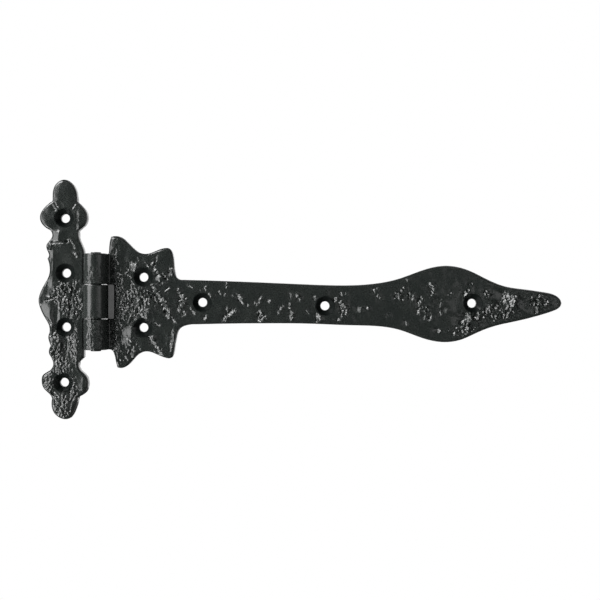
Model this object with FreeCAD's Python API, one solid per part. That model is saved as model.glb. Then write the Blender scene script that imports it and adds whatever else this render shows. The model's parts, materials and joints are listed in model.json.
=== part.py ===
"""Cast strap hinge: a frame plate with one knuckle, a strap with two, and the pin that joins them.

Millimetres. The hinge is closed and upright, as it hangs on a flush door: X runs along the strap,
Y runs into the wall and Z is up, along the pin. Both plates lie with their backs on the plane Y = 0,
and the origin is on that plane, straight behind the middle of the pin.
"""

import FreeCAD
import Part

import os

V = FreeCAD.Vector

# Plates
PLATE_THICKNESS = 5.0
EDGE_CHAMFER = 0.9

# Pin and knuckles. The pin stands out from the wall by a knuckle's radius, so knuckles clear the wall.
PIN_RADIUS = 3.0
PIN_STAND_OUT = 0.8
PIN_END_CHAMFER = 0.35
PIN_RUNNING_CLEARANCE = 0.05
KNUCKLE_RADIUS = 7.0
KNUCKLE_END_CHAMFER = 0.4
AXIS_OFFSET = KNUCKLE_RADIUS
BARREL_HEIGHT = 55.6
MIDDLE_KNUCKLE_HEIGHT = 19.6
KNUCKLE_GAP = 0.3
# How far behind the pin the middle knuckle's flat back reaches
FRAME_KNUCKLE_FOOT = 1.5

# Where the plates stop beside the barrel
FRAME_EDGE_X = -7.7
STRAP_EDGE_X = 6.6

# The strap is notched for the middle knuckle, down to a thin ledge at its back that falls to the right
NOTCH_X = 10.4
LEDGE_X = 5.6
LEDGE_HEIGHT_LEFT = 2.2
LEDGE_HEIGHT_RIGHT = 1.0

# Countersunk holes for No. 10 wood screws, as (x, z) centres
SCREW_HOLE_RADIUS = 2.6
COUNTERSINK_RADIUS = 5.2
FRAME_SCREWS = [(-19.0, 48.7), (-18.4, 16.7), (-18.4, -14.8), (-19.6, -47.1)]
STRAP_SCREWS = [(26.8, 14.3), (26.8, -15.1), (61.2, -0.4), (132.7, -2.4), (218.6, -0.9)]

# Outlines, clockwise from the front, as runs of (x, z) points. A run starts at the end of the run before it.
# Two points in all make a straight edge and more make one smooth curve, so runs meet at the corners.
FRAME_START = (-26.2, 58.8)
FRAME_RUNS = [
    # top lobe
    [(-26.1, 63.0), (-24.9, 67.6), (-22.4, 70.2), (-19.2, 71.2), (-16.0, 70.1), (-13.4, 67.2), (-12.0, 63.0),
     (-11.7, 58.6)],
    # upper right lobe, then the neck that widens to the barrel
    [(-9.0, 56.0), (-6.8, 53.2), (-5.8, 49.6), (-6.2, 46.4), (-8.2, 43.7), (-10.5, 41.8), (-11.0, 39.2),
     (-10.3, 36.0), (-8.9, 32.8), (FRAME_EDGE_X, 28.4)],
    # straight edge beside the barrel, and the stub under it
    [(FRAME_EDGE_X, -32.2)],
    [(-10.4, -34.7)],
    # lower neck and lower right lobe
    [(-11.0, -36.6), (-10.0, -39.8), (-7.4, -42.2), (-5.6, -45.2), (-5.3, -48.8), (-6.4, -52.2),
     (-8.8, -54.4), (-11.4, -55.8)],
    # bottom lobe, with its slanted right side
    [(-11.5, -58.4), (-12.6, -62.0), (-14.2, -65.6), (-16.0, -67.9)],
    [(-19.4, -68.5), (-22.8, -67.2), (-25.6, -64.2), (-26.7, -60.2), (-26.4, -56.4)],
    # lower left lobe
    [(-28.6, -53.2), (-31.2, -50.6), (-32.5, -46.6), (-31.8, -42.8), (-29.0, -40.8), (-26.6, -38.8),
     (-25.8, -35.8), (-27.0, -32.6), (-28.3, -29.4)],
    # dents up the left edge
    [(-28.0, -27.2), (-27.1, -25.8)],
    [(-28.0, -23.6), (-28.7, -21.0), (-28.2, -18.4)],
    # the belly
    [(-28.1, -15.2), (-29.6, -11.2), (-31.9, -7.4), (-33.7, -3.4), (-34.4, 0.6), (-33.8, 4.0), (-32.0, 8.2),
     (-29.6, 12.6), (-28.1, 17.0), (-28.3, 21.8), (-29.2, 25.3)],
    [(-28.4, 27.6), (-29.4, 30.2), (-29.8, 32.6), (-28.6, 35.0), (-26.9, 37.2), (-26.5, 39.4),
     (-27.7, 41.8)],
    # upper left lobe
    [(-31.0, 43.9), (-33.1, 46.8), (-33.5, 50.0), (-31.9, 53.6), (-28.8, 56.9), FRAME_START],
]

STRAP_START = (STRAP_EDGE_X, -BARREL_HEIGHT / 2)
STRAP_RUNS = [
    # straight edge behind the barrel, then up the side of the top left point
    [(STRAP_EDGE_X, BARREL_HEIGHT / 2)],
    [(6.8, 31.6), (7.3, 35.6), (8.0, 37.9)],
    # top left point and the hollow after it
    [(11.2, 38.3), (14.6, 37.3), (17.8, 34.5), (21.2, 31.1), (25.2, 28.4), (29.6, 28.1), (34.6, 29.9),
     (40.2, 31.4)],
    # top right point, down to the strap
    [(42.6, 30.6), (43.9, 28.0), (44.7, 22.6), (45.4, 16.8)],
    [(46.6, 13.8), (50.4, 12.8)],
    # top edge of the strap: a slow taper, the leaf, then the spear
    [(74.3, 12.1), (104.0, 10.9), (130.0, 9.8), (148.0, 9.6), (162.0, 10.6), (176.0, 13.5), (189.0, 18.2),
     (202.4, 21.0), (215.0, 18.9), (228.0, 12.7), (238.0, 8.9), (250.0, 7.1), (260.0, 5.6), (266.0, 4.2),
     (269.6, 1.6), (270.6, -0.9)],
    # bottom edge, back again
    [(269.4, -3.4), (266.0, -5.3), (258.0, -7.9), (246.0, -11.0), (234.0, -13.6), (222.0, -17.8),
     (212.0, -22.2), (202.0, -23.6), (190.0, -21.4), (176.0, -16.4), (162.0, -14.2), (146.0, -13.7),
     (126.0, -12.9), (100.0, -12.6), (76.0, -12.8), (57.6, -13.2)],
    # fillet under the strap and the right side of the lower right point
    [(51.4, -13.9), (47.8, -16.0), (46.5, -19.4), (45.6, -24.0), (44.3, -31.2)],
    # lower right point, hollow, lower left point
    [(42.7, -32.9), (39.6, -32.7), (35.0, -30.9), (28.6, -29.0), (24.4, -30.3), (19.6, -35.2), (15.4, -38.4),
     (11.6, -38.3)],
    [(10.8, -34.6), (9.6, -30.4), (8.4, -28.3), STRAP_START],
]


def outline_wire(start, runs):
    """The closed outline on the wall plane Y = 0."""
    edges = []
    last = V(start[0], 0, start[1])
    for run in runs:
        points = [last] + [V(x, 0, z) for x, z in run]
        if len(points) == 2:
            edges.append(Part.LineSegment(*points).toShape())
        else:
            curve = Part.BSplineCurve()
            curve.interpolate(points)
            edges.append(curve.toShape())
        last = points[-1]
    return Part.Wire(edges)


def plate(start, runs):
    """A plate of the full thickness, its front edge chamfered all round."""
    slab = Part.Face(outline_wire(start, runs)).extrude(V(0, -PLATE_THICKNESS, 0))
    front = [edge for edge in slab.Edges if edge.BoundBox.YMax < -PLATE_THICKNESS + 1e-3]
    return slab.makeChamfer(EDGE_CHAMFER, front)


def screw_hole(x, z):
    """The cutter for one countersunk hole, open at the front and the back."""
    over = 1.0
    drill = Part.makeCylinder(SCREW_HOLE_RADIUS, PLATE_THICKNESS + 2 * over, V(x, over, z), V(0, -1, 0))
    depth = COUNTERSINK_RADIUS - SCREW_HOLE_RADIUS
    cone_base = V(x, depth - PLATE_THICKNESS, z)
    cone = Part.makeCone(SCREW_HOLE_RADIUS, COUNTERSINK_RADIUS + over, depth + over, cone_base, V(0, -1, 0))
    return drill.fuse(cone)


def rod(radius, z_low, z_high, chamfer=0.0):
    """A rod along the pin's axis, its end edges broken if a chamfer is given."""
    body = Part.makeCylinder(radius, z_high - z_low, V(0, -AXIS_OFFSET, z_low))
    if chamfer:
        body = body.makeChamfer(chamfer, [edge for edge in body.Edges if edge.isClosed()])
    return body


def knuckle(z_low, z_high, web_ends):
    """One knuckle and its web, a flat-backed block between two X values that joins it to the plate."""
    low_x, high_x = sorted(web_ends)
    web = Part.makeBox(high_x - low_x, PLATE_THICKNESS, z_high - z_low, V(low_x, -PLATE_THICKNESS, z_low))
    return rod(KNUCKLE_RADIUS, z_low, z_high, KNUCKLE_END_CHAMFER).fuse(web)


def frame_plate():
    """Screwed to the post. It carries the middle knuckle, which turns on the pin."""
    half = MIDDLE_KNUCKLE_HEIGHT / 2
    shape = plate(FRAME_START, FRAME_RUNS)
    shape = shape.fuse(knuckle(-half, half, (FRAME_EDGE_X - EDGE_CHAMFER, FRAME_KNUCKLE_FOOT)))
    for x, z in FRAME_SCREWS:
        shape = shape.cut(screw_hole(x, z))
    bore = rod(PIN_RADIUS + PIN_RUNNING_CLEARANCE, -BARREL_HEIGHT, BARREL_HEIGHT)
    return shape.cut(bore).removeSplitter()


def notch(half_height):
    """The cutter that makes room in the strap for the middle knuckle, and leaves a ledge behind it."""
    over = 2.0
    profile = [
        (LEDGE_X, over),
        (LEDGE_X, -LEDGE_HEIGHT_LEFT),
        (NOTCH_X, -LEDGE_HEIGHT_RIGHT),
        (NOTCH_X, -PLATE_THICKNESS - over),
        (0, -PLATE_THICKNESS - over),
        (0, over),
    ]
    corners = [V(x, y, -half_height) for x, y in profile + profile[:1]]
    return Part.Face(Part.makePolygon(corners)).extrude(V(0, 0, 2 * half_height))


def strap():
    """Screwed to the door. It carries the top and bottom knuckles, which grip the pin."""
    inner = MIDDLE_KNUCKLE_HEIGHT / 2 + KNUCKLE_GAP
    outer = BARREL_HEIGHT / 2
    block_corner = V(EDGE_CHAMFER, -PLATE_THICKNESS, -inner)
    edge_block = Part.makeBox(STRAP_EDGE_X, PLATE_THICKNESS, 2 * inner, block_corner)
    shape = plate(STRAP_START, STRAP_RUNS).fuse(edge_block).cut(notch(inner))
    for z_low, z_high in ((inner, outer), (-outer, -inner)):
        shape = shape.fuse(knuckle(z_low, z_high, (0, STRAP_EDGE_X + EDGE_CHAMFER)))
    for x, z in STRAP_SCREWS:
        shape = shape.cut(screw_hole(x, z))
    return shape.cut(rod(PIN_RADIUS, -BARREL_HEIGHT, BARREL_HEIGHT)).removeSplitter()


def hinge_pin():
    """The plain pin, pressed into the strap's knuckles and standing a little proud at both ends."""
    half = BARREL_HEIGHT / 2 + PIN_STAND_OUT
    return rod(PIN_RADIUS, -half, half, PIN_END_CHAMFER)


def main():
    os.makedirs("parts", exist_ok=True)
    for name, shape in (("frame_plate", frame_plate()), ("strap", strap()), ("hinge_pin", hinge_pin())):
        print(name, "solids:", len(shape.Solids), "valid:", shape.isValid())
        shape.exportStep(f"parts/{name}.step")


main()
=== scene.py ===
"""Looks of a cast strap hinge: two hammered, black-painted castings and their pin, on a plain stage.

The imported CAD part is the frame. Each casting starts as its CAD node, gets its hammered face and
rounded edges, and is then drilled and countersunk again. Sizes in the tables are millimetres, X
along the strap and Z up, as in the CAD part.
"""

import json
import math

import bmesh
import bpy
import numpy as np
from bpy.props import FloatProperty, FloatVectorProperty, PointerProperty
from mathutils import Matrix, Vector, kdtree, noise


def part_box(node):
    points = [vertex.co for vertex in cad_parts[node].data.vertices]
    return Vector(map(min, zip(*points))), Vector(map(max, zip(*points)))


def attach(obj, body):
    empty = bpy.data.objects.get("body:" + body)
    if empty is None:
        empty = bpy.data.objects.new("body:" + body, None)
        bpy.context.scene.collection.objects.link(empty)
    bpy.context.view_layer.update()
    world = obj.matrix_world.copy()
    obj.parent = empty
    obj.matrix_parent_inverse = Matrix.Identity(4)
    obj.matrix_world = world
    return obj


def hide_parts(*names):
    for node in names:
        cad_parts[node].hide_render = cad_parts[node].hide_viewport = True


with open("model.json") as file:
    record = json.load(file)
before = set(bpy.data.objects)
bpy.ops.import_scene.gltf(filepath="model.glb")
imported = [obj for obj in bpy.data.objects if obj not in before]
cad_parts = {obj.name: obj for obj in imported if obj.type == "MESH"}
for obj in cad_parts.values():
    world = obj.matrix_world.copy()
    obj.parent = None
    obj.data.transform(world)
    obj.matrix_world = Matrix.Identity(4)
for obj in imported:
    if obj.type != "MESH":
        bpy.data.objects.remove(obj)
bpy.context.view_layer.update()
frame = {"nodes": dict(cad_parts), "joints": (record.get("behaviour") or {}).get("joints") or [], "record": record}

bl_info = {
    "name": "Cast Strap Hinge",
    "version": (1, 0, 0),
    "blender": (4, 5, 0),
    "location": "3D View > Sidebar > Hinge",
    "description": "Builds the hammered castings, the pin and the stage of a strap hinge",
    "category": "Object",
}

MM = 0.001
JOINT = frame["joints"][0]
AXIS_Y = JOINT["pos_m"][1] / MM
PIN_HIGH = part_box("hinge_pin")[1] / MM
PIN_RADIUS = PIN_HIGH.x
BARREL_RADIUS = 7.0
PLATE_THICKNESS = 5.0
SCREW_RADIUS = frame["record"]["mounts"][-1]["dims"]["hole_r_mm"]
# The notch in the strap's left edge, where the middle knuckle turns
NOTCH_X = 10.4
NOTCH_HALF = 10.1
# The ledge across the back of the notch: its left end, its height there and how steeply it falls
LEDGE_X = 5.6
LEDGE_TOP = 2.2
LEDGE_SLOPE = 0.32
# How squarely a face must look backwards to belong to the flat back
BACK_FACING = 0.99
# How near to the flat back the shape stays plain, the paint stays plain and the faces are thinned out
PLAIN_SHAPE = 0.3
PLAIN_PAINT = 0.25
THINNED_OUT = 0.12
# Wide enough to plug a countersink, and how far a cutter reaches past what it cuts
PLUG_RADIUS = 6.0
OVERCUT = 1.5
# Painted shade: nearer than this to a screw hole's middle the paint is a darker, duller and less shiny black, and
# plain from the second distance on
COUNTERSINK_SHADE_EDGE = (5.4, 5.9)

# ---------------------------------------------------------------------------------------------
# The hammered faces
# ---------------------------------------------------------------------------------------------
# A mark is a short struck facet: its middle, length and width, and the angle that it lies at. It
# looks to the left. The last number is how deep it is, where 1 gives a slope of about 35 degrees.
# Where it is below 0 the mark is a crack that many millimetres deep.

# A mark at least this wide is a smooth facet, and a narrower one is ragged and gritty.
WIDE_MARK = 1.95
# More of the grit's facets look to the left than to the right.
LEFTWARD = Vector((0.7, 0.0, 0.0))
# The highest and deepest that the grit may be, and how gritty a narrow mark's edges are
CRUST_LIMIT = 0.45
MARK_GRIT = 0.35
# How far a ragged mark's edge wanders, and the size of its bends
WANDER = 0.7
WANDER_SIZE = 1.8
# The depth of the fine skin all over the front, and of the rougher one on a gritty knuckle
SKIN_DEPTH = 0.04
KNUCKLE_SKIN_DEPTH = 0.2

STRAP_MARKS = (
    # round the upper hole of the star
    (17.1, 19.1, 2.5, 1.0, -60, 1.0), (20.6, 20.3, 4.5, 3.5, 80, 1.0), (23.8, 24.9, 2.0, 0.8, -60, 1.0),
    (32.3, 22.4, 2.8, 1.0, 60, 1.0), (29.0, 21.4, 4.0, 0.8, -50, 0.6), (35.2, 16.8, 4.2, 1.0, -35, 1.0),
    (42.8, 17.6, 4.0, 1.5, 88, 1.0), (40.5, 13.0, 3.0, 0.8, 5, 1.0), (35.6, 13.8, 3.0, 2.0, 75, 0.8),
    (33.4, 21.8, 8.0, 0.8, 75, -0.7), (38.8, 14.5, 6.0, 0.8, -50, -0.7), (32.0, 2.6, 9.0, 0.8, -55, -0.6),
    (32.3, 9.2, 1.8, 1.2, -70, 1.0), (14.8, 14.4, 2.0, 1.2, 70, 1.0), (20.8, 10.4, 3.5, 1.0, -55, 0.8),
    # the long ridge through the middle of the star
    (34.0, 6.0, 4.7, 1.8, -60, 1.1), (36.5, 2.2, 4.4, 1.8, -55, 1.1), (38.6, -0.7, 3.2, 1.8, -50, 1.1),
    (40.4, -3.8, 4.1, 1.7, -68, 1.1), (41.2, -7.6, 3.8, 1.5, 88, 1.0), (40.8, 7.1, 3.0, 0.8, 45, 1.0),
    # left of the ridge
    (25.3, 3.9, 5.0, 0.9, -42, 1.0), (24.3, 5.6, 4.0, 0.7, -42, 0.9), (22.8, -0.2, 4.5, 3.0, 75, 0.9),
    (27.0, -6.0, 6.0, 5.0, 70, 0.8),
    # lower half of the star
    (17.1, -20.0, 11.0, 4.5, 84, 0.9), (11.0, -30.0, 12.0, 2.6, 80, 0.9), (20.9, -30.5, 4.0, 1.5, 75, 1.0),
    (32.4, -22.6, 5.5, 1.5, -60, 1.1), (35.6, -27.8, 6.0, 1.4, -58, 0.7), (35.8, -13.6, 4.0, 0.8, -20, 1.0),
    (43.6, -22.6, 12.0, 1.3, 84, 0.8), (44.6, -10.8, 4.0, 0.9, -40, 0.9),
    # the strap, up to its first hole
    (47.6, 5.6, 3.0, 1.4, -60, 1.0), (49.8, 1.0, 4.5, 1.6, -75, 1.0), (48.4, -3.2, 3.6, 1.4, 70, 1.0),
    (50.8, -6.6, 3.0, 1.2, -65, 1.0), (54.2, 8.8, 5.0, 0.8, -24, 0.6), (59.0, 6.8, 4.4, 0.8, -16, 0.6),
    (63.0, 7.4, 2.0, 0.8, -50, 1.0), (65.5, 3.6, 2.5, 0.9, -60, 1.0), (55.5, -5.4, 4.3, 0.9, -54, 1.0),
    (63.2, -9.0, 3.0, 1.0, 70, 1.0),
    # between its first and second holes
    (71.1, 4.8, 1.8, 1.0, -45, 1.0), (74.3, 4.5, 1.4, 0.8, 60, 0.9), (78.7, 3.9, 1.4, 0.8, -60, 0.9),
    (82.8, 3.0, 5.0, 1.1, -35, 1.0), (83.6, 0.6, 4.4, 0.9, -48, 1.0), (87.8, -2.1, 1.2, 1.0, 80, 1.0),
    (77.0, -7.7, 9.6, 1.6, 38, 1.0), (75.8, -5.0, 4.0, 0.9, 88, 0.9), (82.5, -10.9, 14.0, 0.6, 2, 0.6),
    (75.0, 10.6, 1.2, 0.8, 80, 1.0), (75.0, 8.6, 1.2, 0.8, 80, 1.0), (91.7, -0.8, 2.0, 0.9, 80, 0.9),
    (94.2, 0.5, 7.0, 0.9, 60, 0.9), (95.0, -6.6, 3.0, 1.5, -75, 1.1), (96.2, -10.0, 6.0, 1.6, 32, 1.1),
    (100.2, 0.4, 1.5, 1.2, 70, 1.0), (106.5, -4.4, 6.0, 1.2, 61, 0.7), (112.9, 3.5, 4.4, 1.0, 88, 0.7),
    (116.9, 2.6, 4.2, 1.3, -50, 1.1), (112.3, -1.6, 1.4, 1.0, 80, 1.0), (112.0, -3.7, 1.2, 0.9, 80, 1.0),
    (112.8, -8.0, 5.3, 1.3, 88, 1.1), (122.7, -6.2, 2.9, 0.9, -41, 1.0), (126.5, 2.3, 2.2, 1.1, 88, 1.0),
    (126.6, -1.6, 5.0, 0.6, 88, 0.6), (128.6, -9.6, 4.9, 1.6, 88, 1.1),
    # past the second hole
    (142.2, 4.8, 2.0, 0.8, -60, 0.9), (144.3, 4.8, 1.6, 0.8, 70, 0.9), (138.9, 1.6, 2.0, 1.6, -70, 1.1),
    (142.2, -2.4, 5.5, 1.5, -70, 1.1), (144.4, -3.6, 4.5, 1.2, -70, 1.0), (143.3, -7.9, 4.0, 1.0, 20, 0.9),
    (140.5, -10.6, 1.6, 1.2, 80, 1.0), (152.4, -4.6, 3.5, 2.0, 80, 0.7), (157.3, -3.7, 1.4, 1.0, 70, 0.9),
    # the crease where the leaf starts
    (162.1, 7.1, 3.4, 0.8, 40, 0.9), (160.8, 4.5, 2.5, 0.7, 14, 0.8), (163.9, 2.6, 4.8, 0.9, -52, 0.9),
    (174.8, 3.1, 1.8, 1.5, 75, 1.1), (169.5, -8.0, 3.0, 1.0, -60, 0.6),
    # the leaf
    (180.6, 12.6, 1.4, 1.0, 80, 0.9), (194.6, 8.9, 4.0, 1.5, -45, 1.0), (194.6, 4.8, 2.5, 1.3, 80, 0.8),
    (188.0, 0.4, 5.0, 1.2, 68, 1.1), (187.0, -5.8, 2.8, 1.1, 88, 1.0), (194.1, -9.4, 3.9, 1.0, 55, 0.9),
    (190.3, -9.2, 3.0, 0.9, 88, 0.8), (179.8, -12.8, 3.0, 0.8, 88, 0.8), (198.0, 1.3, 10.0, 0.7, 2, 0.7),
    (199.6, -4.2, 7.7, 0.7, 88, 0.7), (202.4, -5.0, 3.0, 2.0, 75, 0.7), (204.8, 4.4, 4.0, 0.7, 30, 0.8),
    (216.8, 9.5, 3.4, 1.0, 4, 1.0), (215.0, 5.4, 5.0, 1.4, 39, 1.1), (198.4, -17.0, 2.2, 1.2, 55, 1.1),
    (214.6, -11.0, 7.0, 3.2, 60, 1.2), (218.4, -12.6, 6.0, 2.2, -40, 1.1), (221.0, -8.8, 4.0, 1.6, 60, 1.1),
    (215.4, -15.0, 4.0, 1.6, 25, 1.1),
    # the spear
    (226.0, 5.6, 2.4, 1.0, 60, 1.0), (228.0, 3.6, 2.0, 1.0, -60, 0.9), (232.0, -3.7, 1.4, 1.2, 80, 1.0),
    (239.0, 1.2, 8.0, 6.0, 70, 1.1), (244.0, -4.0, 7.0, 0.9, -24, 0.8), (256.2, 0.5, 1.8, 1.4, 75, 1.1),
    (256.0, -2.8, 2.8, 1.2, 80, 0.8), (268.4, -1.5, 2.2, 0.8, -60, 0.7), (255.8, -6.0, 1.4, 1.0, 80, 0.9),
)

FRAME_MARKS = (
    # upper lobes
    (-24.6, 54.8, 3.7, 0.9, -52, 1.0), (-23.4, 56.2, 3.7, 0.8, -52, 0.9), (-13.2, 55.4, 2.7, 0.8, 51, 0.9),
    (-11.1, 47.0, 8.4, 1.0, 88, 0.9),
    # upper neck
    (-24.3, 38.1, 6.4, 3.4, 84, 0.6), (-20.0, 34.3, 10.0, 0.9, 4, 0.35), (-16.9, 35.2, 2.0, 1.0, 80, 1.0),
    (-14.0, 33.7, 5.5, 0.9, -57, 1.0), (-28.1, 32.0, 3.0, 1.6, 70, 1.0), (-12.6, 27.5, 2.9, 1.1, -36, 1.1),
    (-27.0, 19.7, 16.4, 2.2, 88, 0.9),
    # belly
    (-24.0, 2.7, 9.0, 0.9, -4, 0.8), (-30.0, -6.5, 9.0, 6.0, 78, 0.75), (-13.7, 7.2, 5.3, 0.9, 70, 1.0),
    (-14.9, 3.0, 3.6, 0.9, 80, 1.0), (-14.6, -1.5, 5.5, 0.9, -78, 1.0), (-14.3, -6.0, 3.6, 0.9, 82, 1.0),
    (-22.0, 9.0, 4.0, 0.9, 40, 0.8), (-19.0, 8.2, 4.0, 0.9, 75, 0.8), (-16.6, 9.0, 4.0, 0.9, -70, 0.8),
    # lower neck
    (-27.2, -15.0, 8.7, 2.0, 88, 0.9), (-24.0, -19.4, 8.0, 0.9, -4, 0.9), (-13.5, -24.0, 20.0, 3.0, 88, 0.5),
    # cracks
    (-15.2, 0.0, 18.5, 0.8, 84, -0.8), (-23.0, 34.8, 12.5, 0.8, 2, -0.6), (-25.0, -33.0, 6.0, 0.8, -15, -0.6),
    (-24.4, -41.5, 7.0, 0.8, -35, -0.6), (-24.7, -54.2, 5.0, 0.8, -30, -0.6),
    (-13.2, -55.4, 6.0, 0.8, 60, -0.6), (-28.5, -10.8, 6.0, 0.8, -50, -0.6), (-26.5, 2.0, 8.0, 0.8, 20, -0.6),
    # lower lobes
    (-10.6, -47.5, 8.0, 4.0, 88, 0.55), (-14.4, -50.3, 9.0, 1.5, 85, 0.9), (-14.9, -60.0, 9.0, 0.7, 78, 0.8),
)

# A swelling, or a hollow where its height is negative: middle, half width, half height, height.
STRAP_SWELLS = (
    (37.5, -23.0, 4.5, 8.0, -0.5), (25.0, -3.0, 9.0, 7.0, 0.4), (199.0, 0.0, 16.0, 12.0, 0.5),
    (12.0, 31.0, 5.0, 8.0, 0.4), (236.0, -2.0, 12.0, 6.0, 0.4),
)
FRAME_SWELLS = (
    (-19.0, 62.0, 7.0, 9.0, 0.4), (-27.5, 49.5, 6.0, 7.0, 0.4), (-10.5, 49.5, 5.0, 6.5, 0.4),
    (-24.3, -25.0, 4.5, 6.0, 0.9), (-18.5, -25.0, 2.6, 8.0, -0.8), (-27.0, -29.8, 2.2, 2.2, 0.6),
    (-24.3, -8.0, 2.6, 10.0, -0.6), (-21.0, -60.0, 7.0, 8.0, 0.9), (-27.5, -47.0, 5.5, 6.5, 0.7),
    (-24.0, 7.0, 8.0, 5.0, 0.5),
)

# Where the skin of the casting is gritty: middle, half width, half height, how much.
STRAP_GRIT = (
    (22.0, -1.0, 17.0, 15.0, 1.0), (10.5, 0.0, 6.0, 40.0, 1.0), (49.0, -0.5, 5.0, 10.0, 0.9),
    (20.0, 18.0, 8.0, 8.0, 0.6), (38.0, 14.0, 6.0, 7.0, 0.6), (20.0, -26.0, 8.0, 9.0, 0.7),
    (179.0, 3.5, 9.0, 7.0, 1.0), (190.5, -5.0, 6.0, 5.0, 1.0), (216.0, -10.0, 8.0, 7.0, 1.0),
    (232.0, -6.0, 17.0, 7.0, 1.0), (213.0, -17.0, 13.0, 4.5, 0.9), (227.0, 4.0, 4.5, 4.0, 0.9),
    (257.0, 0.5, 11.0, 6.5, 0.9), (241.0, 2.0, 7.0, 6.0, 0.7),
    (143.0, -5.0, 4.0, 6.0, 0.7), (15.0, -30.0, 5.0, 8.0, 0.7), (38.0, 0.0, 5.0, 8.0, 0.8),
    # its knuckles
    (0.0, 13.5, 9.0, 8.5, 1.5), (0.0, -19.0, 9.0, 14.0, 1.6),
)
FRAME_GRIT = (
    (-12.0, 1.0, 4.5, 15.0, 1.0), (-18.5, 3.0, 8.5, 13.0, 1.0), (-23.5, -26.0, 7.0, 11.0, 1.0),
    (-13.5, -24.0, 4.0, 15.0, 1.0), (-20.5, -37.0, 8.5, 8.0, 0.9), (-29.5, -48.0, 6.5, 8.5, 1.0),
    (-21.0, -61.0, 8.0, 10.0, 1.0), (-14.5, -50.5, 4.0, 9.0, 0.9), (-27.2, -15.0, 3.0, 7.0, 0.9),
    # its knuckle
    (0.0, -8.5, 8.0, 4.0, 0.8),
)


def smoothstep(low, high, value):
    """0 below low, 1 above high and a smooth change between."""
    t = np.clip((value - low) / (high - low), 0.0, 1.0)
    return t * t * (3.0 - 2.0 * t)


def struck(x, z, mark):
    """One struck facet, low on its left and high on its right, or one crack.

    Returns its height in millimetres, and how much it marks each point.
    """
    middle_x, middle_z, length, width, lie, depth = mark
    along_x, along_z = math.cos(math.radians(lie)), math.sin(math.radians(lie))
    side = 1.0 if along_z >= 0.0 else -1.0
    along = (x - middle_x) * along_x + (z - middle_z) * along_z
    across = ((x - middle_x) * along_z - (z - middle_z) * along_x) * side
    half = 0.62 * width
    steepness = depth * min(max(0.95 - 0.14 * width, 0.36), 0.75)
    fade = np.exp(-np.maximum(np.abs(across) - half, 0.0) / (1.2 * half + 0.2))
    taper = 1.0 / (1.0 + (np.abs(along) / (length / 2)) ** 6)
    if depth < 0.0:
        return depth * np.exp(-((across / half) ** 2)) * taper, fade * taper
    return steepness * half * np.clip(across / half, -1.0, 1.0) * fade * taper, fade * taper


def patch(x, z, middle_x, middle_z, half_width, half_height):
    """1 in the middle of an ellipse and 0 outside it."""
    distance = np.hypot((x - middle_x) / half_width, (z - middle_z) / half_height)
    return 1.0 - smoothstep(0.35, 1.15, distance)


def grit_amount(x, z, patches, marks):
    """How gritty the skin is at each point, from 0 to 1. It is gritty round the marks too."""
    amount = np.zeros(len(x))
    for middle_x, middle_z, half_width, half_height, share in patches:
        amount = np.maximum(amount, share * patch(x, z, middle_x, middle_z, half_width, half_height))
    for mark in marks:
        if mark[3] < WIDE_MARK:
            amount = np.maximum(amount, MARK_GRIT * struck(x, z, mark)[1])
    return amount


def cast_noise(points, size, seed):
    """Smooth noise from -1 to 1 with lumps of about that size, at points in millimetres."""
    shift = Vector((seed * 17.3, seed * 5.1, seed * 11.7))
    return np.array([noise.noise(Vector(p) / size + shift) for p in points])


def facets(points, size, seed):
    """A crust of tilted facets of about that size: its height, at points in millimetres."""
    shift = Vector((seed * 9.7, seed * 3.3, seed * 7.9))
    heights = []
    for point in points:
        place = Vector(point) / size + shift
        distances, middles = noise.voronoi(place)
        tilt = 2.0 * noise.cell_vector(5.0 * middles[0]) - Vector((1.0, 1.0, 1.0)) + LEFTWARD
        fade = min((distances[1] - distances[0]) / 0.3, 1.0)
        heights.append(size * fade * tilt.dot(place - middles[0]))
    return np.array(heights)


# ---------------------------------------------------------------------------------------------
# Making the castings
# ---------------------------------------------------------------------------------------------


def only(*objects):
    """Selects these objects and nothing else, and makes the first one active."""
    bpy.ops.object.select_all(action="DESELECT")
    for obj in objects:
        obj.select_set(True)
    bpy.context.view_layer.objects.active = objects[0]


def apply(obj, kind, **settings):
    """Adds a modifier and applies it."""
    only(obj)
    modifier = obj.modifiers.new(kind.title(), kind)
    for name, value in settings.items():
        setattr(modifier, name, value)
    bpy.ops.object.modifier_apply(modifier=modifier.name)


def copy_of_node(node, name):
    """A new object with the CAD node's mesh, its loose triangles joined up."""
    piece = bpy.data.objects.new(name, frame["nodes"][node].data.copy())
    piece.data.name = name
    bpy.context.scene.collection.objects.link(piece)
    only(piece)
    bpy.ops.object.mode_set(mode="EDIT")
    bpy.ops.mesh.select_all(action="SELECT")
    bpy.ops.mesh.remove_doubles(threshold=1e-6)
    bpy.ops.object.mode_set(mode="OBJECT")
    return piece


def back_rings(mesh):
    """The rings of (x, z) points round the flat back: the outline, and the middles of the screw holes."""
    shape = bmesh.new()
    shape.from_mesh(mesh)
    neighbours = {}
    for edge in shape.edges:
        if sum(face.normal.y > BACK_FACING for face in edge.link_faces) == 1:
            first, second = edge.verts
            neighbours.setdefault(first, []).append(second)
            neighbours.setdefault(second, []).append(first)
    rings = []
    while neighbours:
        vertex = next(iter(neighbours))
        ring = []
        while vertex is not None:
            ring.append((vertex.co.x / MM, vertex.co.z / MM))
            onward = [other for other in neighbours.pop(vertex) if other in neighbours]
            vertex = onward[0] if onward else None
        rings.append(np.array(ring))
    shape.free()
    outline = max(rings, key=lambda ring: np.ptp(ring, axis=0).max())
    round_rings = [ring for ring in rings if np.allclose(np.ptp(ring, axis=0), 2 * SCREW_RADIUS, atol=0.2)]
    return outline, [ring.min(axis=0) / 2 + ring.max(axis=0) / 2 for ring in round_rings]


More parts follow.
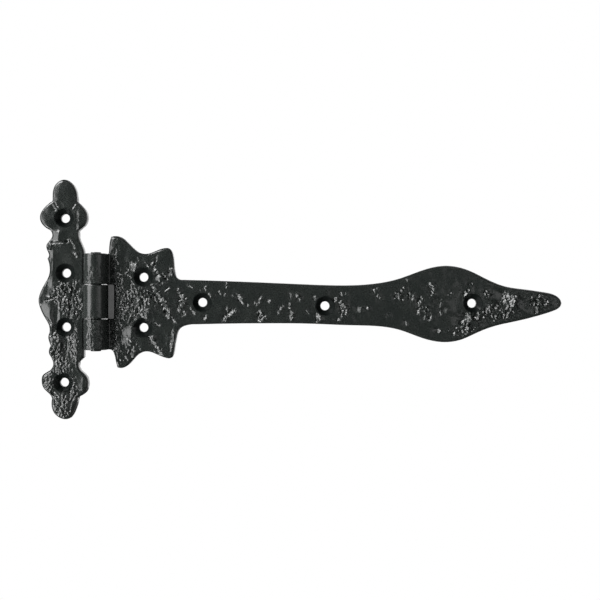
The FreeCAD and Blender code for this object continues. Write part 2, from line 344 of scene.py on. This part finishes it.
def points_along(ring, spacing=0.3):
    """Points at an even spacing along a closed ring."""
    points = []
    for start, end in zip(ring, np.roll(ring, -1, axis=0)):
        count = max(int(np.linalg.norm(end - start) / spacing), 1)
        points.extend(start + (end - start) * step / count for step in range(count))
    return np.array(points)


def distance_to(points, x, z):
    """The distance in millimetres from each (x, z) to the nearest of the points."""
    tree = kdtree.KDTree(len(points))
    for index, (px, pz) in enumerate(points):
        tree.insert((px, pz, 0.0), index)
    tree.balance()
    return np.array([tree.find((px, pz, 0.0))[2] for px, pz in zip(x, z)])


def cylinder(radius, depth, location, axis="Y", tip_radius=None):
    """A cylinder, or a cone if it has a second radius at its front end, in millimetres."""
    turn = (math.pi / 2, 0.0, 0.0) if axis == "Y" else (0.0, 0.0, 0.0)
    bpy.ops.object.select_all(action="DESELECT")
    bpy.ops.mesh.primitive_cone_add(
        vertices=64,
        radius1=radius * MM,
        radius2=(radius if tip_radius is None else tip_radius) * MM,
        depth=depth * MM,
        location=Vector(location) * MM,
        rotation=turn,
    )
    return bpy.context.object


def fill_holes(piece, holes, knuckles):
    """Plugs the screw holes and the bore, so that they can be drilled in the finished face."""
    plugs = []
    for x, z in holes:
        plugs.append(cylinder(PLUG_RADIUS, PLATE_THICKNESS, (x, -PLATE_THICKNESS / 2, z)))
    for low, high in knuckles:
        plugs.append(cylinder(PIN_RADIUS + 1.0, high - low, (0, AXIS_Y, (low + high) / 2), axis="Z"))
    only(piece, *plugs)
    bpy.ops.object.join()


def even_faces(piece, size):
    """Remakes the casting in small even faces."""
    apply(piece, "REMESH", mode="VOXEL", voxel_size=size * MM)


def on_ledge(x, y, z):
    """Whether each point is on the front of the ledge in the notch."""
    return (x > LEDGE_X) & (x < NOTCH_X) & (np.abs(z) < NOTCH_HALF) & (y > -LEDGE_TOP - 0.3) & (y < -0.1)


def tilt_ledge(piece):
    """Turns the ledge in the notch a little further to the right than in the CAD part."""
    for vertex in piece.data.vertices:
        x, y, z = vertex.co / MM
        if on_ledge(x, y, z):
            vertex.co.y = -(LEDGE_TOP - LEDGE_SLOPE * (x - LEDGE_X)) * MM


def thin_out_back(piece, keep):
    """Leaves few faces on the flat back, where there is nothing to see."""
    count = len(piece.data.vertices)
    coordinates = np.empty(count * 3)
    piece.data.vertices.foreach_get("co", coordinates)
    depth = coordinates.reshape(-1, 3)[:, 1] / MM
    group = piece.vertex_groups.new(name="back")
    group.add([int(i) for i in np.flatnonzero(depth > -THINNED_OUT)], 1.0, "REPLACE")
    apply(piece, "DECIMATE", ratio=keep, vertex_group=group.name, vertex_group_factor=1000.0)
    piece.vertex_groups.clear()


def drill(piece, holes, settings):
    """Cuts the countersunk screw holes and the pin's bore."""
    depth = settings.countersink_depth / MM
    wide = SCREW_RADIUS + depth + OVERCUT
    cutters = []
    for x, z in holes:
        through = PLATE_THICKNESS + 4 * OVERCUT
        cutters.append(cylinder(SCREW_RADIUS, through, (x, -PLATE_THICKNESS / 2, z)))
        middle = -PLATE_THICKNESS + (depth - OVERCUT) / 2
        cutters.append(cylinder(SCREW_RADIUS, depth + OVERCUT, (x, middle, z), tip_radius=wide))
    bore = PIN_RADIUS + settings.bore_clearance / MM
    cutters.append(cylinder(bore, 2 * PIN_HIGH.z, (0, AXIS_Y, 0), axis="Z"))
    for cutter in cutters:
        apply(piece, "BOOLEAN", operation="DIFFERENCE", object=cutter, solver="MANIFOLD")
        bpy.data.objects.remove(cutter)


def shape_face(piece, outline, on_plate, marks, swells, grit_patches, settings, seed):
    """Gives the plate its rounded edges and hammered face, and the rest the skin of a sand casting."""
    mesh = piece.data
    coordinates = np.empty(len(mesh.vertices) * 3)
    mesh.vertices.foreach_get("co", coordinates)
    normals = np.empty(len(mesh.vertices) * 3)
    mesh.vertices.foreach_get("normal", normals)
    place = coordinates.reshape(-1, 3) / MM
    normals = normals.reshape(-1, 3)
    x, y, z = place.T
    front = y < -PLAIN_SHAPE
    inside = distance_to(outline, x, z)
    flat = np.column_stack((x, np.zeros(len(x)), z))

    edge = settings.edge_round / MM
    short = edge - np.minimum(inside, edge)
    relief = np.sqrt(edge ** 2 - short ** 2) - edge
    relief += settings.crown / MM * (1.0 - np.exp(-inside / 3.5)) - settings.crown / MM
    clear = smoothstep(0.3, 2.0, inside)
    relief += clear * settings.dent_depth / MM * cast_noise(flat, 6.0, seed)
    relief += clear * 0.3 * settings.dent_depth / MM * cast_noise(flat, 2.8, seed + 1)
    ragged = settings.raggedness
    wander_x = x + WANDER * ragged * cast_noise(flat, WANDER_SIZE, seed + 6)
    wander_z = z + WANDER * ragged * cast_noise(flat, WANDER_SIZE, seed + 7)
    broken = (1.1 + 1.3 * ragged * cast_noise(flat, 1.2, seed + 8)) * smoothstep(0.0, 0.8, inside)
    for middle_x, middle_z, half_width, half_height, height in swells:
        relief += height * patch(x, z, middle_x, middle_z, half_width, half_height)
    steeper = 1.0 + settings.tip_depth * smoothstep(130.0, 260.0, x)
    for mark in marks:
        if mark[3] < WIDE_MARK:
            relief += broken * steeper * struck(wander_x, wander_z, mark)[0]
        else:
            relief += steeper * struck(x, z, mark)[0]
    grit = grit_amount(x, z, grit_patches, marks)
    gritty = np.flatnonzero((grit > 0.02) & front)
    crust = settings.grit_slope * facets(flat[gritty], settings.grit_size / MM, seed + 2)
    relief[gritty] += (grit * clear * steeper)[gritty] * np.clip(crust, -CRUST_LIMIT, CRUST_LIMIT)
    plate = on_plate(x, z)
    y_new = y * (PLATE_THICKNESS + relief * plate) / PLATE_THICKNESS

    on_barrel = (1.0 - plate) * (x < BARREL_RADIUS + 0.2) * (np.hypot(x, y - AXIS_Y) > PIN_RADIUS + 2.0)
    skin = SKIN_DEPTH * cast_noise(place, 2.4, seed + 3) * front
    skin += KNUCKLE_SKIN_DEPTH * on_barrel * grit * cast_noise(place, 1.5, seed + 4)
    # The ends of the knuckles stay flat, so that they turn clear of each other
    skin *= (np.abs(normals[:, 2]) < 0.5) & ~on_ledge(x, y, z)
    shaped = np.column_stack((x, y_new, z)) + normals * skin[:, None]
    shaped[:, 1] = np.minimum(shaped[:, 1], 0.0)
    mesh.vertices.foreach_set("co", (shaped * MM).ravel())
    mesh.update()


def store_skin(piece, patches, marks, holes):
    """Keeps on the mesh how gritty the skin is, where shade is painted in and round each countersink, and the
    ledge.
    """
    coordinates = np.empty(len(piece.data.vertices) * 3)
    piece.data.vertices.foreach_get("co", coordinates)
    x, y, z = coordinates.reshape(-1, 3).T / MM
    # Painted shade: marks each countersink and a ring round it, where the paint is made darker and duller
    pooled = np.zeros(len(x))
    for hole_x, hole_z in holes:
        pooled = np.maximum(pooled, 1.0 - smoothstep(*COUNTERSINK_SHADE_EDGE, np.hypot(x - hole_x, z - hole_z)))
    front = y < -PLAIN_PAINT
    pooled *= front
    even = on_ledge(x, y, z).astype(float)
    grit = grit_amount(x, z, patches, marks) * (1.0 - pooled) * (1.0 - even) * front
    for name, amount in (("grit", grit), ("pooled", pooled), ("even", even)):
        attribute = piece.data.attributes.new(name, "FLOAT", "POINT")
        attribute.data.foreach_set("value", amount.astype(np.float32))


def finish_piece(piece, material, body, node):
    """Smooths, paints and hands over one finished piece."""
    only(piece)
    bpy.ops.object.shade_smooth_by_angle(angle=math.radians(40))
    for face in piece.data.polygons:
        if face.normal.y > BACK_FACING:
            face.use_smooth = False
    piece.data.materials.clear()
    piece.data.materials.append(material)
    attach(piece, body)
    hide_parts(node)


# ---------------------------------------------------------------------------------------------
# Paint
# ---------------------------------------------------------------------------------------------


class Value:
    """A number that varies over a surface. Used in a sum, it adds the Math nodes for that sum."""

    def __init__(self, shader, socket):
        self.shader = shader
        self.socket = socket

    def combine(self, operation, first, second):
        return self.shader.node("ShaderNodeMath", {"operation": operation}, {0: first, 1: second})

    def __add__(self, other):
        return self.combine("ADD", self, other)

    __radd__ = __add__

    def __sub__(self, other):
        return self.combine("SUBTRACT", self, other)

    def __rsub__(self, other):
        return self.combine("SUBTRACT", other, self)

    def __mul__(self, other):
        return self.combine("MULTIPLY", self, other)

    __rmul__ = __mul__


class Shader:
    """The nodes of one material, or of the world."""

    def __init__(self, owner):
        owner.use_nodes = True
        self.owner = owner
        self.tree = owner.node_tree
        self.tree.nodes.clear()

    def node(self, kind, settings=None, inputs=None, output=0):
        """Adds a node: first its settings, then the values or links of its sockets."""
        node = self.tree.nodes.new(kind)
        for name, value in (settings or {}).items():
            setattr(node, name, value)
        for key, value in (inputs or {}).items():
            if isinstance(value, Value):
                self.tree.links.new(value.socket, node.inputs[key])
            else:
                node.inputs[key].default_value = value
        return Value(self, node.outputs[output]) if node.outputs else None

    def lumps(self, size, detail=2.0):
        """Noise from 0 to 1 with lumps of about that many millimetres."""
        place = self.node("ShaderNodeTexCoord", output="Object")
        sockets = {"Vector": place, "Scale": 1.0 / (size * MM), "Detail": detail, "Roughness": 0.55}
        return self.node("ShaderNodeTexNoise", inputs=sockets, output="Fac")


def casting_paint(name, settings):
    """Black paint over a sand casting: glossy on the smooth parts, and broken up where it is gritty."""
    shader = Shader(bpy.data.materials.new(name))
    grit = shader.node("ShaderNodeAttribute", {"attribute_name": "grit"}, output="Fac")
    tone = shader.lumps(9.0, 3.0)
    colours = {0: tone, 6: (*settings.cool, 1.0), 7: (*settings.warm, 1.0)}
    colour = shader.node("ShaderNodeMix", {"data_type": "RGBA"}, colours, output=2)
    patchy = shader.lumps(3.5, 3.0)
    pooled = shader.node("ShaderNodeAttribute", {"attribute_name": "pooled"}, output="Fac")
    even = shader.node("ShaderNodeAttribute", {"attribute_name": "even"}, output="Fac")
    roughness = settings.roughness + 0.14 * (patchy - 0.5) - 0.14 * even
    smooth = 0.05 * shader.lumps(2.6, 0.0)
    height = smooth + 0.3 * grit * shader.lumps(1.0, 1.0)
    bump = shader.node("ShaderNodeBump", inputs={"Strength": 1.0, "Distance": 0.6 * MM, "Height": height})
    thin = {"Base Color": colour, "Roughness": roughness, "Normal": bump}
    # Painted shade in and round the countersinks: a darker black, duller and with less shine than the rest of the
    # paint
    shaded_paint = {"Base Color": (0.0035, 0.0046, 0.0043, 1.0), "Roughness": 0.45, "Specular IOR Level": 0.05}
    coats = {
        0: pooled,
        1: shader.node("ShaderNodeBsdfPrincipled", inputs=thin),
        2: shader.node("ShaderNodeBsdfPrincipled", inputs=shaded_paint),
    }
    surface = shader.node("ShaderNodeMixShader", inputs=coats)
    shader.node("ShaderNodeOutputMaterial", inputs={"Surface": surface})
    return shader.owner


def pin_paint(settings):
    """The same paint on a smooth steel pin, a little worn."""
    shader = Shader(bpy.data.materials.new("pin paint"))
    tone = shader.lumps(2.0, 3.0)
    roughness = settings.roughness + 0.2 * (tone - 0.5)
    bump = shader.node(
        "ShaderNodeBump", inputs={"Strength": 1.0, "Distance": 0.1 * MM, "Height": shader.lumps(0.7)}
    )
    surface = shader.node(
        "ShaderNodeBsdfPrincipled",
        inputs={"Base Color": (*settings.cool, 1.0), "Roughness": roughness, "Normal": bump},
    )
    shader.node("ShaderNodeOutputMaterial", inputs={"Surface": surface})
    return shader.owner


# ---------------------------------------------------------------------------------------------
# Settings
# ---------------------------------------------------------------------------------------------


def length(name, description, millimetres):
    """A length that a user may change."""
    return FloatProperty(
        name=name, description=description, default=millimetres * MM, min=0.0, precision=5,
        subtype="DISTANCE", unit="LENGTH",
    )


class StrapCastingSettings(bpy.types.PropertyGroup):
    face_size: length("Face size", "Size of the faces that the casting is made of", 0.42)
    edge_round: length("Edge rounding", "Radius of the rounded front edge", 0.6)
    crown: length("Crown", "How much the face rises from its edge to its middle", 0.3)
    dent_depth: length("Dent depth", "Depth of the shallow dents all over the face", 0.3)
    grit_size: length("Grit size", "Size of the facets in the rough patches", 1.8)
    grit_slope: FloatProperty(name="Grit slope", description="Steepness of the facets", default=0.7)
    countersink_depth: length("Countersink depth", "Depth of the cone for the screw's head", 2.7)
    bore_clearance: length("Bore clearance", "How much wider than the pin's radius the bore is", 0.02)
    tip_depth: FloatProperty(
        name="Tip depth", description="How much deeper the marks at the tip are", default=0.35
    )
    raggedness: FloatProperty(name="Raggedness", description="How broken up the marks are", default=1.0)


class FrameCastingSettings(bpy.types.PropertyGroup):
    face_size: length("Face size", "Size of the faces that the casting is made of", 0.32)
    edge_round: length("Edge rounding", "Radius of the rounded front edge", 0.7)
    crown: length("Crown", "How much the face rises from its edge to its middle", 0.2)
    dent_depth: length("Dent depth", "Depth of the shallow dents all over the face", 0.35)
    grit_size: length("Grit size", "Size of the facets in the rough patches", 1.9)
    grit_slope: FloatProperty(name="Grit slope", description="Steepness of the facets", default=0.7)
    countersink_depth: length("Countersink depth", "Depth of the cone for the screw's head", 2.7)
    bore_clearance: length("Bore clearance", "How much wider than the pin's radius the bore is", 0.07)
    tip_depth: FloatProperty(
        name="Tip depth", description="How much deeper the marks at the tip are", default=0.0
    )
    raggedness: FloatProperty(name="Raggedness", description="How broken up the marks are", default=0.4)


class PaintSettings(bpy.types.PropertyGroup):
    cool: FloatVectorProperty(
        name="Black", description="The paint's colour", default=(0.0070, 0.0092, 0.0086), subtype="COLOR",
        min=0.0, max=1.0,
    )
    warm: FloatVectorProperty(
        name="Thin black", description="The paint's colour where it is thin",
        default=(0.0140, 0.0160, 0.0145), subtype="COLOR", min=0.0, max=1.0,
    )
    roughness: FloatProperty(
        name="Roughness", description="How matt the paint is", default=0.26, min=0.0, max=1.0,
        subtype="FACTOR",
    )


class StageSettings(bpy.types.PropertyGroup):
    floor_drop: length("Floor drop", "How far below the hinge the floor is", 1200.0)


# ---------------------------------------------------------------------------------------------
# Operators
# ---------------------------------------------------------------------------------------------


def strap_plate(x, z):
    """1 on the strap's plate and 0 on its knuckles and on the ledge in its notch."""
    on_plate = np.maximum(smoothstep(7.0, 9.0, x), smoothstep(28.2, 29.5, np.abs(z)))
    return np.where((x < NOTCH_X - 0.2) & (np.abs(z) < NOTCH_HALF), 0.0, on_plate)


def frame_plate(x, z):
    """1 on the frame plate and 0 on its knuckle."""
    beside_knuckle = 1.0 - smoothstep(9.9, 11.0, np.abs(z))
    return 1.0 - smoothstep(-9.4, -7.6, x) * beside_knuckle


class HINGE_OT_strap(bpy.types.Operator):
    """Makes the long strap, with its top and bottom knuckles"""

    bl_idname = "hinge.strap"
    bl_label = "Strap"

    def execute(self, context):
        settings = context.scene.hinge_strap
        piece = copy_of_node("strap", "strap_casting")
        outline, centres = back_rings(piece.data)
        x, z = (np.array([v.co[i] / MM for v in piece.data.vertices]) for i in (0, 2))
        beside = np.abs(z[x < 0.0])
        inner, outer = beside.min(), beside.max()
        fill_holes(piece, centres, ((-outer, -inner), (inner, outer)))
        even_faces(piece, settings.face_size / MM)
        edge = points_along(outline)
        edge = edge[(edge[:, 0] > 7.2) | (np.abs(edge[:, 1]) > outer + 0.2)]
        edge = np.vstack((edge, [(NOTCH_X, step) for step in np.arange(-inner, inner, 0.3)]))
        tilt_ledge(piece)
        shape_face(piece, edge, strap_plate, STRAP_MARKS, STRAP_SWELLS, STRAP_GRIT, settings, 1)
        thin_out_back(piece, 0.62)
        drill(piece, centres, settings)
        store_skin(piece, STRAP_GRIT, STRAP_MARKS, centres)
        paint = casting_paint("strap paint", context.scene.hinge_paint)
        finish_piece(piece, paint, "door_side", "strap")
        return {"FINISHED"}


class HINGE_OT_frame_plate(bpy.types.Operator):
    """Makes the trefoil-ended frame plate, with the middle knuckle"""

    bl_idname = "hinge.frame_plate"
    bl_label = "Frame plate"

    def execute(self, context):
        settings = context.scene.hinge_frame_plate
        piece = copy_of_node("frame_plate", "frame_plate_casting")
        outline, centres = back_rings(piece.data)
        x, z = (np.array([v.co[i] / MM for v in piece.data.vertices]) for i in (0, 2))
        half = z[x > 0.0].max()
        fill_holes(piece, centres, ((-half, half),))
        even_faces(piece, settings.face_size / MM)
        edge = points_along(outline)
        edge = edge[(edge[:, 0] < -7.6) | (np.abs(edge[:, 1]) > half + 0.2)]
        shape_face(piece, edge, frame_plate, FRAME_MARKS, FRAME_SWELLS, FRAME_GRIT, settings, 5)
        thin_out_back(piece, 0.64)
        drill(piece, centres, settings)
        store_skin(piece, FRAME_GRIT, FRAME_MARKS, centres)
        paint = casting_paint("frame plate paint", context.scene.hinge_paint)
        finish_piece(piece, paint, "frame_side", "frame_plate")
        return {"FINISHED"}


class HINGE_OT_pin(bpy.types.Operator):
    """Makes the pin, with its ends peened over a little"""

    bl_idname = "hinge.pin"
    bl_label = "Pin"

    def execute(self, context):
        pin = cylinder(PIN_RADIUS, 2 * PIN_HIGH.z, (0, AXIS_Y, 0), axis="Z")
        pin.name = pin.data.name = "pin"
        bpy.ops.object.transform_apply(location=True, rotation=True, scale=True)
        apply(pin, "BEVEL", width=0.3 * MM, segments=3, limit_method="ANGLE", angle_limit=math.radians(60))
        bpy.ops.object.mode_set(mode="EDIT")
        bpy.ops.mesh.select_all(action="SELECT")
        bpy.ops.mesh.normals_make_consistent(inside=False)
        bpy.ops.object.mode_set(mode="OBJECT")
        finish_piece(pin, pin_paint(context.scene.hinge_paint), "door_side", "hinge_pin")
        return {"FINISHED"}


# Soft boxes: azimuth and elevation, distance, width and height in metres, and brightness
SOFT_BOXES = (
    ("left box", -56, 0, 1.3, (0.75, 0.75), 5.6),
    ("upper left box", -58, 38, 1.3, (0.8, 0.6), 18.0),
    ("lower left box", -58, -32, 1.2, (0.8, 0.35), 16.0),
    ("right box", 44, 0, 3.0, (1.4, 1.2), 1.3),
    ("front strip", 22, 0, 6.0, (0.6, 1.2), 2.2),
    ("upper front strip", 15, 28, 6.0, (0.8, 2.5), 1.3),
    ("upper right box", 135, 60, 1.3, (1.0, 1.0), 1.0),
    ("back box", 180, 8, 1.5, (1.2, 1.2), 2.0),
)
MIDDLE = Vector((0.118, 0.0, 0.0))
CAMERA_PLACE = (0.1181, -0.4895, 0.001)
FLOOR_SIZE = 5.0
# The soft box over the floor: its size, its brightness, and its drop as a share of the floor's
FLOOR_LIGHT_SIZE = 9.0
FLOOR_LIGHT = 1.1
FLOOR_LIGHT_DROP = 0.3
# How bright the surroundings are, where 1 is white
FRONT_LIGHT = 0.030
RIGHT_LIGHT = 0.06
BACK_LIGHT = 1.6


def soft_box(name, azimuth, elevation, distance, size, brightness):
    """A soft box that the camera doesn't see. Azimuth 0 is in front of the hinge and -90 on its left."""
    data = bpy.data.lights.new(name, "AREA")
    data.shape = "RECTANGLE"
    data.size, data.size_y = size
    data.energy = brightness * math.pi * size[0] * size[1]
    light = bpy.data.objects.new(name, data)
    bpy.context.scene.collection.objects.link(light)
    turn, rise = math.radians(azimuth), math.radians(elevation)
    towards = Vector((math.sin(turn) * math.cos(rise), -math.cos(turn) * math.cos(rise), math.sin(rise)))
    light.location = MIDDLE + distance * towards
    light.rotation_euler = (-towards).to_track_quat("-Z", "Y").to_euler()
    light.visible_camera = False


def floor_light(drop):
    """A wide soft box under the hinge that lights only the floor."""
    data = bpy.data.lights.new("floor light", "AREA")
    data.size = FLOOR_LIGHT_SIZE
    data.energy = FLOOR_LIGHT * math.pi * FLOOR_LIGHT_SIZE ** 2
    light = bpy.data.objects.new("floor light", data)
    bpy.context.scene.collection.objects.link(light)
    light.location = MIDDLE - Vector((0.0, 0.0, drop))
    light.visible_camera = False


def plain_surroundings():
    """White to look at, and dim light from all round that is stronger from behind the hinge's right."""
    world = bpy.data.worlds.new("plain surroundings")
    bpy.context.scene.world = world
    shader = Shader(world)
    direction = shader.node("ShaderNodeTexCoord", output="Generated")
    split = {"Vector": direction}
    across = shader.node("ShaderNodeSeparateXYZ", inputs=split, output="X")
    backwards = shader.node("ShaderNodeSeparateXYZ", inputs=split, output="Y")
    settings = {"interpolation_type": "SMOOTHSTEP"}
    rightward = {"Value": across, "From Min": 0.5, "From Max": 0.85}
    right = shader.node("ShaderNodeMapRange", settings, rightward)
    rearward = {"Value": backwards, "From Min": 0.0, "From Max": 0.6}
    behind = shader.node("ShaderNodeMapRange", settings, rearward)
    seen = shader.node("ShaderNodeLightPath", output="Is Camera Ray")
    light = FRONT_LIGHT + right * (RIGHT_LIGHT + BACK_LIGHT * behind)
    background = shader.node("ShaderNodeBackground", inputs={"Color": seen + (1.0 - seen) * light})
    shader.node("ShaderNodeOutputWorld", inputs={"Surface": background})


class HINGE_OT_stage(bpy.types.Operator):
    """Makes the floor, the lights and the camera"""

    bl_idname = "hinge.stage"
    bl_label = "Stage"

    def execute(self, context):
        settings = context.scene.hinge_stage
        bpy.ops.object.select_all(action="DESELECT")
        bpy.ops.mesh.primitive_plane_add(size=FLOOR_SIZE, location=(0.12, 0.0, -settings.floor_drop))
        floor = context.object
        floor.name = "floor"
        shader = Shader(bpy.data.materials.new("pale floor"))
        matt = {"Base Color": (0.8, 0.8, 0.8, 1), "Roughness": 0.7}
        pale = shader.node("ShaderNodeBsdfPrincipled", inputs=matt)
        shader.node("ShaderNodeOutputMaterial", inputs={"Surface": pale})
        floor.data.materials.append(shader.owner)
        floor.visible_glossy = False

        for box in SOFT_BOXES:
            soft_box(*box)
        floor_light(FLOOR_LIGHT_DROP * settings.floor_drop)
        plain_surroundings()

        camera = bpy.data.cameras.new("camera")
        camera.lens = 50.0
        camera.sensor_width = 36.0
        holder = bpy.data.objects.new("camera", camera)
        context.scene.collection.objects.link(holder)
        holder.location = CAMERA_PLACE
        holder.rotation_euler = (math.pi / 2, 0.0, 0.0)
        context.scene.camera = holder
        context.scene.view_settings.view_transform = "Standard"
        return {"FINISHED"}


class HINGE_PT_panel(bpy.types.Panel):
    """Lists the hinge's pieces and their settings"""

    bl_idname = "HINGE_PT_panel"
    bl_label = "Strap Hinge"
    bl_space_type = "VIEW_3D"
    bl_region_type = "UI"
    bl_category = "Hinge"

    def draw(self, context):
        for operator, group in STEPS:
            box = self.layout.box()
            box.operator(operator)
            for name in getattr(context.scene, group).__annotations__:
                box.prop(getattr(context.scene, group), name)


STEPS = (
    ("hinge.frame_plate", "hinge_frame_plate"),
    ("hinge.strap", "hinge_strap"),
    ("hinge.pin", "hinge_paint"),
    ("hinge.stage", "hinge_stage"),
)
GROUPS = {
    "hinge_frame_plate": FrameCastingSettings,
    "hinge_strap": StrapCastingSettings,
    "hinge_paint": PaintSettings,
    "hinge_stage": StageSettings,
}
CLASSES = (
    *GROUPS.values(), HINGE_OT_frame_plate, HINGE_OT_strap, HINGE_OT_pin, HINGE_OT_stage, HINGE_PT_panel,
)


def register():
    for cls in CLASSES:
        bpy.utils.register_class(cls)
    for name, group in GROUPS.items():
        setattr(bpy.types.Scene, name, PointerProperty(type=group))


def unregister():
    for name in GROUPS:
        delattr(bpy.types.Scene, name)
    for cls in reversed(CLASSES):
        bpy.utils.unregister_class(cls)


def main():
    register()
    bpy.ops.hinge.frame_plate()
    bpy.ops.hinge.strap()
    bpy.ops.hinge.pin()
    bpy.ops.hinge.stage()


if __name__ == "__main__":
    main()
